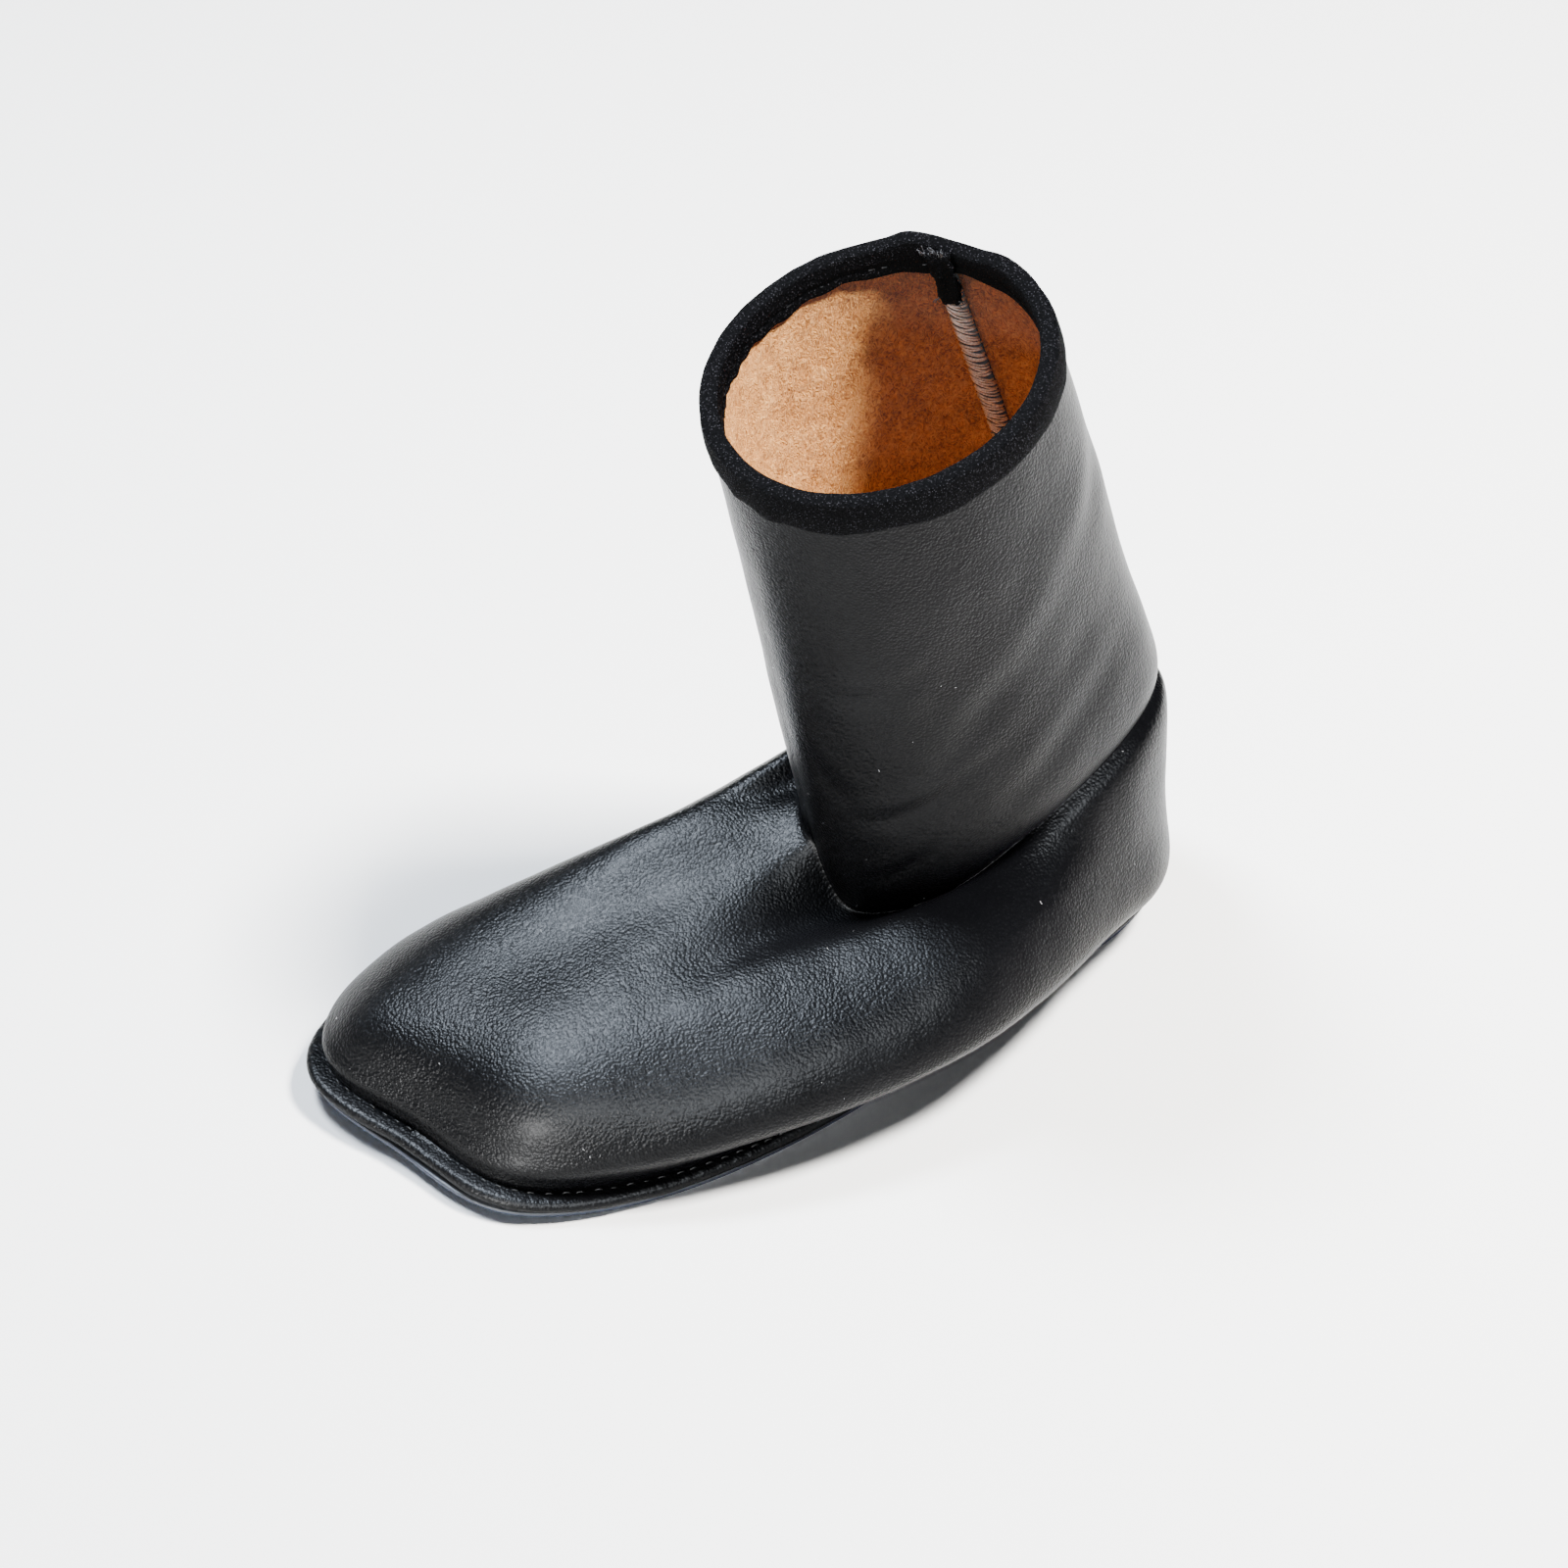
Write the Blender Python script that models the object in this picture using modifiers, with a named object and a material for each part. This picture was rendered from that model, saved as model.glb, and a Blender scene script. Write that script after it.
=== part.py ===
"""A pull-on sock boot: a fleece-lined leather upper on a soft sole with a rolled edge.

Metres, +Z up. The origin is on the floor under the middle of the heel, the toe points
along -Y and the outer side of the foot is +X. It is the left boot of a pair.
"""

import math

import bmesh
import bpy
import numpy as np

# Foot
FOOT_LENGTH = 0.281        # the upper's foot line, heel to toe
BALL_WIDTH = 0.112         # the same across the ball
HEEL_SETBACK = 0.052       # back of the heel to the middle of the heel
INSTEP_HEIGHT = 0.080      # height of the fold behind the heel
TOE_SPRING = 0.005
SPRING_START = 0.74        # share of the foot's length
ARCH_LIFT = 0.0015
ARCH_START = 0.30
ARCH_END = 0.54

# Ankle fold and shaft, outside the leather
FOLD_DEPTH = 0.010
FOLD_RISE = 0.05           # share of the shaft's height in which the fold opens out
ANKLE_LONG = 0.131
ANKLE_SIDE = 0.082
ANKLE_BACK = 0.064         # ankle's middle, ahead of the back of the heel
ANKLE_OUTWARD = 0.006
COLLAR_LONG = 0.107
COLLAR_SIDE = 0.091
COLLAR_HEIGHT = 0.240
COLLAR_FORWARD = 0.0385
COLLAR_INWARD = 0.009
COLLAR_TURN = math.radians(4.0)
COLLAR_PITCH = math.radians(9.8)
COLLAR_ROLL = math.radians(7.6)

# Layers
WALL = 0.003               # leather and fleece together
CLEARANCE = 0.0003
OUTSOLE_THICK = 0.0016
OUTSOLE_INSET = 0.0010
SOLE_THICK = 0.0052
LIP_WIDTH = 0.0045         # rolled edge, past the upper's foot line
LIP_ROLL = 0.0026
INSOLE_THICK = 0.0025
INSOLE_GAP = 0.001
HEM_HEIGHT = 0.002
FEATHER_HEIGHT = OUTSOLE_THICK + CLEARANCE + SOLE_THICK + CLEARANCE

# Knitted binding over the rim, and the seam inside
BINDING_THICK = 0.0011
BINDING_OUTSIDE = 0.0105
BINDING_INSIDE = 0.0088
SEAM_WIDTH = 0.0068
SEAM_THICK = 0.0022
SEAM_START = 0.13          # share of the shaft's height
SEAM_PLACE = 0.045         # share round the foot line, from the heel to the inner side
TAIL_WIDTH = 0.0085
TAIL_THICK = 0.0018
TAIL_LENGTH = 0.017

# Mesh
COLUMNS = 62               # evenly spaced, and two more beside the seam
FOOT_ROWS = 12
SHAFT_ROWS = 9
ROW_SPREAD = 1.3
RUNG_PARTS = 4
SMOOTH_ANGLE = 40.0        # degrees
TINY = 0.001

# One row for each upright section, from the heel round by the outer side.
# along is a share of FOOT_LENGTH. across, bulge and roll are shares of BALL_WIDTH:
# bulge swells the side low down, and roll swells the rounded edge under the fold.
# bulge_up, low_up, high_up and fold_up are heights as shares of INSTEP_HEIGHT.
# low_run, high_run are shares of the way from foot line to ankle fold.
# angle is the place on the ankle's ring in degrees. fold is a share of FOLD_DEPTH.
# lip is a share of LIP_WIDTH.
SECTION_COLUMNS = (
    "along", "across", "bulge", "bulge_up", "low_run", "low_up",
    "high_run", "high_up", "roll", "angle", "fold_up", "fold", "lip",
)
SECTIONS = (
    (0.000, 0.010, 0.035, 0.24, 0.20, 0.52, 0.60, 1.03, 0.026, 0, 1.12, 0.5, 0.55),
    (0.044, 0.250, 0.066, 0.26, 0.20, 0.54, 0.60, 1.05, 0.042, 38, 1.14, 0.7, 0.45),
    (0.161, 0.350, 0.134, 0.34, 0.24, 0.66, 0.62, 0.91, 0.050, 80, 0.96, 1.0, 0.40),
    (0.392, 0.450, 0.228, 0.38, 0.24, 0.68, 0.60, 0.78, 0.022, 122, 0.70, 0.9, 0.45),
    (0.648, 0.492, 0.122, 0.34, 0.20, 0.58, 0.60, 0.71, 0.000, 152, 0.60, 0.4, 0.75),
    (0.830, 0.405, 0.026, 0.26, 0.16, 0.48, 0.55, 0.66, 0.000, 167, 0.64, 0.2, 1.20),
    (0.918, 0.275, -0.018, 0.22, 0.13, 0.43, 0.50, 0.62, 0.000, 174, 0.75, 0.1, 1.30),
    (0.966, -0.035, -0.016, 0.21, 0.13, 0.42, 0.50, 0.63, 0.000, 180, 0.85, 0.1, 1.40),
    (1.000, -0.385, -0.008, 0.20, 0.13, 0.40, 0.50, 0.65, 0.000, 187, 0.88, 0.0, 1.55),
    (0.953, -0.506, 0.016, 0.22, 0.16, 0.43, 0.55, 0.73, 0.000, 195, 0.90, 0.0, 1.60),
    (0.716, -0.458, 0.058, 0.32, 0.20, 0.56, 0.60, 0.86, 0.000, 212, 0.90, 0.2, 0.85),
    (0.428, -0.320, 0.082, 0.40, 0.26, 0.74, 0.66, 0.99, 0.000, 240, 0.93, 0.6, 0.75),
    (0.180, -0.300, 0.045, 0.34, 0.26, 0.68, 0.62, 0.97, 0.030, 284, 1.00, 0.7, 0.65),
    (0.047, -0.225, 0.036, 0.26, 0.22, 0.56, 0.60, 1.02, 0.034, 324, 1.08, 0.6, 0.55),
)

# The rolled edge in section: degrees above level
LIP_ANGLES = (90, 50, 15, -20, -55, -90)

# A rounded strip in section: places as shares of its width, heights as shares of its thickness
STRIP_PLACES = (-0.50, -0.25, 0.00, 0.25, 0.50)
STRIP_CROWN = (0.45, 0.90, 1.00, 0.90, 0.45)


def spline_through(knots, values, period, places):
    """A smooth closed curve through the rows, read at the places."""
    count = len(knots)
    gaps = np.diff(np.append(knots, knots[0] + period))
    system = np.zeros((count, count))
    bends = np.zeros_like(values)
    for i in range(count):
        before, after = gaps[i - 1], gaps[i]
        system[i, i - 1] += before
        system[i, i] += 2 * (before + after)
        system[i, (i + 1) % count] += after
        rise = (values[(i + 1) % count] - values[i]) / after
        fall = (values[i] - values[i - 1]) / before
        bends[i] = 6 * (rise - fall)
    curve = np.linalg.solve(system, bends)
    places = np.mod(places, period)
    i = np.clip(np.searchsorted(knots, places, side="right") - 1, 0, count - 1)
    j = (i + 1) % count
    gap = gaps[i][:, None]
    done = (places - knots[i])[:, None]
    left = gap - done
    cubic = curve[i] * left**3 / (6 * gap) + curve[j] * done**3 / (6 * gap)
    start = (values[i] - curve[i] * gap**2 / 6) * left / gap
    end = (values[j] - curve[j] * gap**2 / 6) * done / gap
    return cubic + start + end


def section_values(shares):
    """The table's columns at shares of the way round the foot line, as a dictionary."""
    table = np.array(SECTIONS, dtype=float)
    points = table[:, :2] * (FOOT_LENGTH, BALL_WIDTH)
    steps = np.linalg.norm(np.roll(points, -1, axis=0) - points, axis=1)
    period = steps.sum()
    knots = np.concatenate([[0.0], np.cumsum(steps)[:-1]])
    angle = SECTION_COLUMNS.index("angle")
    table[:, angle] -= 360 * knots / period
    shares = np.asarray(shares, dtype=float)
    values = spline_through(knots, table, period, shares * period)
    values[:, angle] += 360 * np.mod(shares, 1.0)
    return dict(zip(SECTION_COLUMNS, values.T))


def foot_line(section):
    """Plan points of the upper's foot line."""
    return np.stack(
        [section["across"] * BALL_WIDTH, HEEL_SETBACK - section["along"] * FOOT_LENGTH], axis=1
    )


def outward_normals(points):
    """Plan normals of a closed line that runs from the heel by +X to the toe."""
    tangent = np.roll(points, -1, axis=0) - np.roll(points, 1, axis=0)
    normal = np.stack([-tangent[:, 1], tangent[:, 0]], axis=1)
    return normal / np.linalg.norm(normal, axis=1)[:, None]


def smooth_step(share):
    share = np.clip(share, 0.0, 1.0)
    return share * share * (3 - 2 * share)


def ground_height(y):
    """Height of the sole's underside: flat at heel and ball, arched between, sprung at the toe."""
    along = (HEEL_SETBACK - np.asarray(y)) / FOOT_LENGTH
    middle = (ARCH_START + ARCH_END) / 2
    half = (ARCH_END - ARCH_START) / 2
    arch = ARCH_LIFT * smooth_step(1 - np.abs(along - middle) / half)
    spring = TOE_SPRING * np.clip((along - SPRING_START) / (1 - SPRING_START), 0, None) ** 2
    return arch + spring


def shaft_ring(section, share):
    """Plan points of the shaft's outside at a share of its height, and their offset from its middle."""
    half_long = (ANKLE_LONG + (COLLAR_LONG - ANKLE_LONG) * share) / 2
    half_side = (ANKLE_SIDE + (COLLAR_SIDE - ANKLE_SIDE) * share) / 2
    turn = COLLAR_TURN * share
    angle = np.radians(section["angle"])
    side = half_side * np.sin(angle)
    long = half_long * np.cos(angle)
    offset = np.stack(
        [side * math.cos(turn) - long * math.sin(turn), side * math.sin(turn) + long * math.cos(turn)],
        axis=1,
    )
    middle = (
        ANKLE_OUTWARD - COLLAR_INWARD * share,
        HEEL_SETBACK - ANKLE_BACK - COLLAR_FORWARD * share,
    )
    inset = FOLD_DEPTH * section["fold"] * math.exp(-share / FOLD_RISE)
    reach = np.linalg.norm(offset, axis=1)
    offset = offset * (1 - inset / reach)[:, None]
    return offset + middle, offset


def shaft_points(section, share):
    """Points of the shaft's outside at a share of the way from ankle fold to rim."""
    plan, _ = shaft_ring(section, share)
    _, rim = shaft_ring(section, 1.0)
    top = COLLAR_HEIGHT + rim[:, 1] * math.tan(COLLAR_PITCH) - rim[:, 0] * math.tan(COLLAR_ROLL)
    fold = section["fold_up"] * INSTEP_HEIGHT
    return np.column_stack([plan, fold + (top - fold) * share])


def curve_between(controls, place):
    """A smooth curve through the controls, read at a place counted in controls."""
    padded = np.concatenate(
        [2 * controls[:1] - controls[1:2], controls, 2 * controls[-1:] - controls[-2:-1]]
    )
    i = min(int(place), len(controls) - 2)
    part = place - i
    a, b, c, d = padded[i : i + 4]
    return 0.5 * (
        2 * b
        + (c - a) * part
        + (2 * a - 5 * b + 4 * c - d) * part**2
        + (3 * b - a - 3 * c + d) * part**3
    )


def foot_rows(section):
    """Rows of points from the foot line over bulge and shoulder to the ankle fold."""
    line = foot_line(section)
    outward = outward_normals(line)
    way = shaft_points(section, 0.0)[:, :2] - line
    bulge = section["bulge"] * BALL_WIDTH
    roll = section["roll"] * BALL_WIDTH
    ground = ground_height(line[:, 1])
    nothing = np.zeros_like(bulge)
    runs = np.stack([nothing, nothing, section["low_run"], section["high_run"], nothing + 1])
    bulges = np.stack([nothing, bulge, bulge * (1 - section["low_run"]), roll, nothing])
    heights = np.stack([
        FEATHER_HEIGHT + HEM_HEIGHT + ground,
        section["bulge_up"] * INSTEP_HEIGHT + ground,
        section["low_up"] * INSTEP_HEIGHT + ground,
        section["high_up"] * INSTEP_HEIGHT,
        section["fold_up"] * INSTEP_HEIGHT,
    ])
    rows = [np.column_stack([line, FEATHER_HEIGHT + ground])]
    for k in range(FOOT_ROWS + 1):
        place = k * (len(runs) - 1) / FOOT_ROWS
        run, out = curve_between(runs, place), curve_between(bulges, place)
        plan = line + way * run[:, None] + outward * out[:, None]
        rows.append(np.column_stack([plan, curve_between(heights, place)]))
    return rows


def shaft_frame(section, share):
    """Outside points, outward normals and upward directions at a share of the shaft's height."""
    points = shaft_points(section, share)
    up = shaft_points(section, share + TINY) - shaft_points(section, share - TINY)
    shifted = dict(section, angle=section["angle"] + math.degrees(TINY))
    back = dict(section, angle=section["angle"] - math.degrees(TINY))
    round_way = shaft_points(shifted, share) - shaft_points(back, share)
    normal = np.cross(up, round_way)
    outward = np.sign((normal[:, :2] * shaft_ring(section, share)[1]).sum(axis=1))
    normal *= (outward / np.linalg.norm(normal, axis=1))[:, None]
    length = np.linalg.norm(up, axis=1) / (2 * TINY)
    return points, normal, up / np.linalg.norm(up, axis=1)[:, None], length


def collar_points(section, depth, out):
    """Points at a depth below the rim, or above it, and a distance out from the shaft's outside."""
    rim, normal, up, length = shaft_frame(section, 1.0)
    if depth <= 0:
        return rim - up * depth + normal * out
    shares = 1 - depth / length
    rows = []
    for i, share in enumerate(shares):
        one = {key: value[i : i + 1] for key, value in section.items()}
        point, direction, _, _ = shaft_frame(one, share)
        rows.append(point[0] + direction[0] * out)
    return np.array(rows)


def strip_shares(width):
    """Places round the foot line whose columns lie across a strip on the seam."""
    ring = shaft_points(section_values((-SEAM_PLACE - TINY, TINY - SEAM_PLACE)), 1.0)
    per_share = np.linalg.norm(ring[1] - ring[0]) / (2 * TINY)
    return np.array(STRIP_PLACES) * width / per_share - SEAM_PLACE


def column_shares():
    """Places of the columns: even round the foot line, and at the seam's edges and opposite them."""
    even = np.arange(COLUMNS) / COLUMNS
    edges = strip_shares(SEAM_WIDTH)[[0, -1]]
    return np.sort(np.concatenate([even, 1 + edges, -edges]))


def material(name, colour, roughness):
    made = bpy.data.materials.new(name)
    made.use_nodes = True
    surface = made.node_tree.nodes["Principled BSDF"]
    surface.inputs["Base Color"].default_value = (*colour, 1.0)
    surface.inputs["Roughness"].default_value = roughness
    surface.inputs["Metallic"].default_value = 0.0
    return made


def add_grid(mesh, grid, close_columns=True, close_rows=False):
    """Vertices and faces of a grid of points, row by row."""
    rows = [[mesh.verts.new(point) for point in row] for row in grid]
    last_row = len(rows) if close_rows else len(rows) - 1
    last_column = len(rows[0]) if close_columns else len(rows[0]) - 1
    for i in range(last_row):
        low, high = rows[i], rows[(i + 1) % len(rows)]
        for j in range(last_column):
            k = (j + 1) % len(low)
            mesh.faces.new((low[j], low[k], high[k], high[j]))
    return rows


def add_ladder(mesh, ring, height):
    """Closes a ring with rungs between its two sides, at a height over the ground line."""
    half = len(ring) // 2
    rungs = [[ring[0]]]
    for j in range(1, half):
        start, end = ring[j], ring[-j]
        rung = [start]
        for k in range(1, RUNG_PARTS):
            place = start.co.lerp(end.co, k / RUNG_PARTS)
            place.z = float(ground_height(place.y)) + height
            rung.append(mesh.verts.new(place))
        rung.append(end)
        rungs.append(rung)
    rungs.append([ring[half]])
    for low, high in zip(rungs, rungs[1:]):
        for k in range(RUNG_PARTS):
            corners = [low[min(k, len(low) - 1)], low[min(k + 1, len(low) - 1)]]
            corners += [high[min(k + 1, len(high) - 1)], high[min(k, len(high) - 1)]]
            mesh.faces.new(list(dict.fromkeys(corners)))


def add_object(name, mesh, surface, collection):
    bmesh.ops.recalc_face_normals(mesh, faces=mesh.faces)
    data = bpy.data.meshes.new(name)
    mesh.to_mesh(data)
    mesh.free()
    data.shade_smooth()
    data.set_sharp_from_angle(angle=math.radians(SMOOTH_ANGLE))
    data.materials.append(surface)
    made = bpy.data.objects.new(name, data)
    collection.objects.link(made)
    return made


def shaft_shares():
    """Shares of the shaft's height at which its rows lie, closer together at the fold."""
    return (np.arange(1, SHAFT_ROWS + 1) / SHAFT_ROWS) ** ROW_SPREAD


def build_upper(section, surface, collection):
    """Foot and shaft in one hollow skin, open at the collar and under the foot."""
    rows = foot_rows(section)
    rows += [shaft_points(section, share) for share in shaft_shares()]
    mesh = bmesh.new()
    add_grid(mesh, rows)
    upper = add_object("upper", mesh, surface, collection)
    wall = upper.modifiers.new("wall", "SOLIDIFY")
    wall.thickness = WALL
    wall.offset = -1
    wall.use_quality_normals = True
    return upper


def plate_rings(section, offsets, heights):
    """Rings round the foot line, each at its offset outward and its height over the ground line."""
    line = foot_line(section)
    normals = outward_normals(line)
    rings = []
    for offset, height in zip(offsets, heights):
        plan = line + normals * np.reshape(offset, (-1, 1))
        rings.append(np.column_stack([plan, ground_height(plan[:, 1]) + height]))
    return rings


def build_plate(name, section, offsets, heights, surface, collection):
    """A closed plate: rings from its top edge to its bottom edge, with a ladder over each."""
    mesh = bmesh.new()
    rings = add_grid(mesh, plate_rings(section, offsets, heights))
    add_ladder(mesh, rings[0], heights[0])
    add_ladder(mesh, rings[-1], heights[-1])
    return add_object(name, mesh, surface, collection)


def build_sole(section, surface, collection):
    """The soft sole with its rolled edge, which stands out past the upper."""
    edge = section["lip"] * LIP_WIDTH
    middle = OUTSOLE_THICK + CLEARANCE + SOLE_THICK / 2
    angles = [math.radians(angle) for angle in LIP_ANGLES]
    offsets = [edge - LIP_ROLL * (1 - math.cos(angle)) for angle in angles]
    heights = [middle + SOLE_THICK / 2 * math.sin(angle) for angle in angles]
    return build_plate("sole", section, offsets, heights, surface, collection)


def build_outsole(section, surface, collection):
    """The thin ground layer, a little inside the rolled edge."""
    edge = section["lip"] * LIP_WIDTH - LIP_ROLL + OUTSOLE_INSET
    heights = (OUTSOLE_THICK, 0.0)
    return build_plate("outsole", section, (edge, edge), heights, surface, collection)


def build_insole(section, surface, collection):
    """The fleece insole on the sole, inside the wall."""
    edge = -(WALL + CLEARANCE + INSOLE_GAP)
    heights = (FEATHER_HEIGHT + INSOLE_THICK, FEATHER_HEIGHT)
    return build_plate("insole", section, (edge, edge), heights, surface, collection)


def build_binding(section, surface, collection):
    """The knitted tape, folded over the rim all round."""
    near = CLEARANCE
    far = CLEARANCE + BINDING_THICK
    fold = (
        (BINDING_OUTSIDE, near),
        (BINDING_OUTSIDE, far),
        (0.0, far),
        (-0.8 * far, near),
        (-far, -WALL / 2),
        (-0.8 * far, -WALL - near),
        (0.0, -WALL - far),
        (BINDING_INSIDE, -WALL - far),
        (BINDING_INSIDE, -WALL - near),
        (-near, -WALL - near),
        (-near, near),
    )
    mesh = bmesh.new()
    add_grid(mesh, [collar_points(section, depth, out) for depth, out in fold], close_rows=True)
    return add_object("collar_binding", mesh, surface, collection)


def build_strip(name, width, thick, base, depths, surface, collection):
    """A low rounded strip on the wall's inside, along the seam."""
    section = section_values(strip_shares(width))
    crown = np.array(STRIP_CROWN) * thick
    grid = []
    for depth in depths:
        wall = collar_points(section, depth, -base)
        crest = wall - (collar_points(section, depth, TINY) - collar_points(section, depth, 0.0)) * (
            crown[:, None] / TINY
        )
        grid.append(np.concatenate([wall, crest[::-1]]))
    mesh = bmesh.new()
    rows = add_grid(mesh, grid)
    for row in (rows[0], rows[-1]):
        half = len(row) // 2
        for k in range(half - 1):
            mesh.faces.new((row[k], row[k + 1], row[-k - 2], row[-k - 1]))
    return add_object(name, mesh, surface, collection)


def build_back_seam(surface, collection):
    """The stitched seam allowance, from under the binding down the back of the shaft."""
    _, _, _, length = shaft_frame(section_values((-SEAM_PLACE,)), 1.0)
    top = BINDING_INSIDE + CLEARANCE
    lower = [share for share in shaft_shares()[::-1] if share >= SEAM_START]
    depths = [top] + [depth for depth in length[0] * (1 - np.array(lower)) if depth > top + BINDING_THICK]
    return build_strip(
        "back_seam", SEAM_WIDTH, SEAM_THICK, WALL + CLEARANCE, depths, surface, collection
    )


def build_binding_tail(surface, collection):
    """The binding's loose end, turned down over the top of the seam."""
    base = WALL + max(BINDING_THICK, SEAM_THICK) + 2 * CLEARANCE
    depths = np.linspace(0.0, TAIL_LENGTH, 5)
    return build_strip("binding_tail", TAIL_WIDTH, TAIL_THICK, base, depths, surface, collection)


def build_boot():
    for old in list(bpy.data.objects):
        bpy.data.objects.remove(old)
    boot = bpy.data.collections.new("sock_boot")
    bpy.context.scene.collection.children.link(boot)
    section = section_values(column_shares())
    leather = material("black leather", (0.012, 0.012, 0.014), 0.42)
    rolled = material("black sole leather", (0.011, 0.011, 0.013), 0.38)
    rubber = material("dark blue rubber", (0.010, 0.012, 0.022), 0.60)
    knit = material("black knit", (0.010, 0.010, 0.012), 0.85)
    fleece = material("tan fleece", (0.560, 0.330, 0.180), 0.95)
    build_upper(section, leather, boot)
    build_sole(section, rolled, boot)
    build_outsole(section, rubber, boot)
    build_insole(section, fleece, boot)
    build_binding(section, knit, boot)
    build_back_seam(fleece, boot)
    build_binding_tail(knit, boot)


build_boot()
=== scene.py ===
# Sock boot, left: leather skin, rolled sole, knitted binding, fleece inside.
import math

import bmesh
import bpy
import numpy as np
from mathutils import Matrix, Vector


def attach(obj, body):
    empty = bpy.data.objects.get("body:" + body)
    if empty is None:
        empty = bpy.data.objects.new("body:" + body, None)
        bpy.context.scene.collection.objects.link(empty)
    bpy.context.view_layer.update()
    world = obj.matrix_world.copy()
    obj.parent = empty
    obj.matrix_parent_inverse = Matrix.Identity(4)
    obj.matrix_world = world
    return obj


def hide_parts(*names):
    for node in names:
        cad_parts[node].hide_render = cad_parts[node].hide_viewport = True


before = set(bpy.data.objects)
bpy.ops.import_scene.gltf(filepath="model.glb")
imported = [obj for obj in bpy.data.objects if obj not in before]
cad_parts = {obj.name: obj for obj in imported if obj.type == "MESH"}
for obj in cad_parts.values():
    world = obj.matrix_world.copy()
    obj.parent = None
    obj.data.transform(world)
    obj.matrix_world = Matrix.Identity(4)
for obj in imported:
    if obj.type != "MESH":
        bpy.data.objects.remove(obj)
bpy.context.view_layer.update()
print("frame loaded")

# Sizes of the boot, in metres, as the solids have them
boot = {
    "footLength": 0.281, "ballWidth": 0.112, "heelSetback": 0.052, "instepHeight": 0.080,
    "toeSpring": 0.005, "springStart": 0.74, "archLift": 0.0015, "archStart": 0.30, "archEnd": 0.54,
    "foldDepth": 0.010, "foldRise": 0.05, "ankleLong": 0.131, "ankleSide": 0.082,
    "ankleBack": 0.064, "ankleOutward": 0.006, "collarLong": 0.107, "collarSide": 0.091,
    "collarHeight": 0.240, "collarForward": 0.0385, "collarInward": 0.009,
    "collarTurn": math.radians(4.0), "collarPitch": math.radians(9.8), "collarRoll": math.radians(7.6),
    "wall": 0.003, "clearance": 0.0003, "outsoleThick": 0.0016, "soleThick": 0.0052,
    "lipWidth": 0.0045, "lipRoll": 0.0026, "insoleThick": 0.0025, "insoleGap": 0.001, "hem": 0.002,
    "seamPlace": 0.045,
}
boot["feather"] = boot["outsoleThick"] + boot["soleThick"] + 2 * boot["clearance"]

# Upright sections from the heel round by the outer side, lengths as shares of the sizes above
sectionKeys = ("along", "across", "bulge", "bulgeUp", "lowRun", "lowUp",
               "highRun", "highUp", "roll", "angle", "foldUp", "fold", "lip")
sectionRows = (
    (0.000, 0.010, 0.035, 0.24, 0.20, 0.52, 0.60, 1.03, 0.026, 0, 1.12, 0.5, 0.55),
    (0.044, 0.250, 0.066, 0.26, 0.20, 0.54, 0.60, 1.05, 0.042, 38, 1.14, 0.7, 0.45),
    (0.161, 0.350, 0.134, 0.34, 0.24, 0.66, 0.62, 0.91, 0.050, 80, 0.96, 1.0, 0.40),
    (0.392, 0.450, 0.228, 0.38, 0.24, 0.68, 0.60, 0.78, 0.022, 122, 0.70, 0.9, 0.45),
    (0.648, 0.492, 0.122, 0.34, 0.20, 0.58, 0.60, 0.71, 0.000, 152, 0.60, 0.4, 0.75),
    (0.830, 0.405, 0.026, 0.26, 0.16, 0.48, 0.55, 0.66, 0.000, 167, 0.64, 0.2, 1.20),
    (0.918, 0.275, -0.018, 0.22, 0.13, 0.43, 0.50, 0.62, 0.000, 174, 0.75, 0.1, 1.30),
    (0.966, -0.035, -0.016, 0.21, 0.13, 0.42, 0.50, 0.63, 0.000, 180, 0.85, 0.1, 1.40),
    (1.000, -0.385, -0.008, 0.20, 0.13, 0.40, 0.50, 0.65, 0.000, 187, 0.88, 0.0, 1.55),
    (0.953, -0.506, 0.016, 0.22, 0.16, 0.43, 0.55, 0.73, 0.000, 195, 0.90, 0.0, 1.60),
    (0.716, -0.458, 0.058, 0.32, 0.20, 0.56, 0.60, 0.86, 0.000, 212, 0.90, 0.2, 0.85),
    (0.428, -0.320, 0.082, 0.40, 0.26, 0.74, 0.66, 0.99, 0.000, 240, 0.93, 0.6, 0.75),
    (0.180, -0.300, 0.045, 0.34, 0.26, 0.68, 0.62, 0.97, 0.030, 284, 1.00, 0.7, 0.65),
    (0.047, -0.225, 0.036, 0.26, 0.22, 0.56, 0.60, 1.02, 0.034, 324, 1.08, 0.6, 0.55),
)


def closedSpline(knots, values, period, places):
    count = len(knots)
    gaps = np.diff(np.append(knots, knots[0] + period))
    system = np.zeros((count, count))
    bends = np.zeros_like(values)
    for i in range(count):
        before, after = gaps[i - 1], gaps[i]
        system[i, i - 1] += before
        system[i, i] += 2 * (before + after)
        system[i, (i + 1) % count] += after
        bends[i] = 6 * ((values[(i + 1) % count] - values[i]) / after - (values[i] - values[i - 1]) / before)
    curve = np.linalg.solve(system, bends)
    places = np.mod(places, period)
    i = np.clip(np.searchsorted(knots, places, side="right") - 1, 0, count - 1)
    j = (i + 1) % count
    gap = gaps[i][:, None]
    done = (places - knots[i])[:, None]
    left = gap - done
    cubic = (curve[i] * left**3 + curve[j] * done**3) / (6 * gap)
    ends = (values[i] - curve[i] * gap**2 / 6) * left + (values[j] - curve[j] * gap**2 / 6) * done
    return cubic + ends / gap


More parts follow.
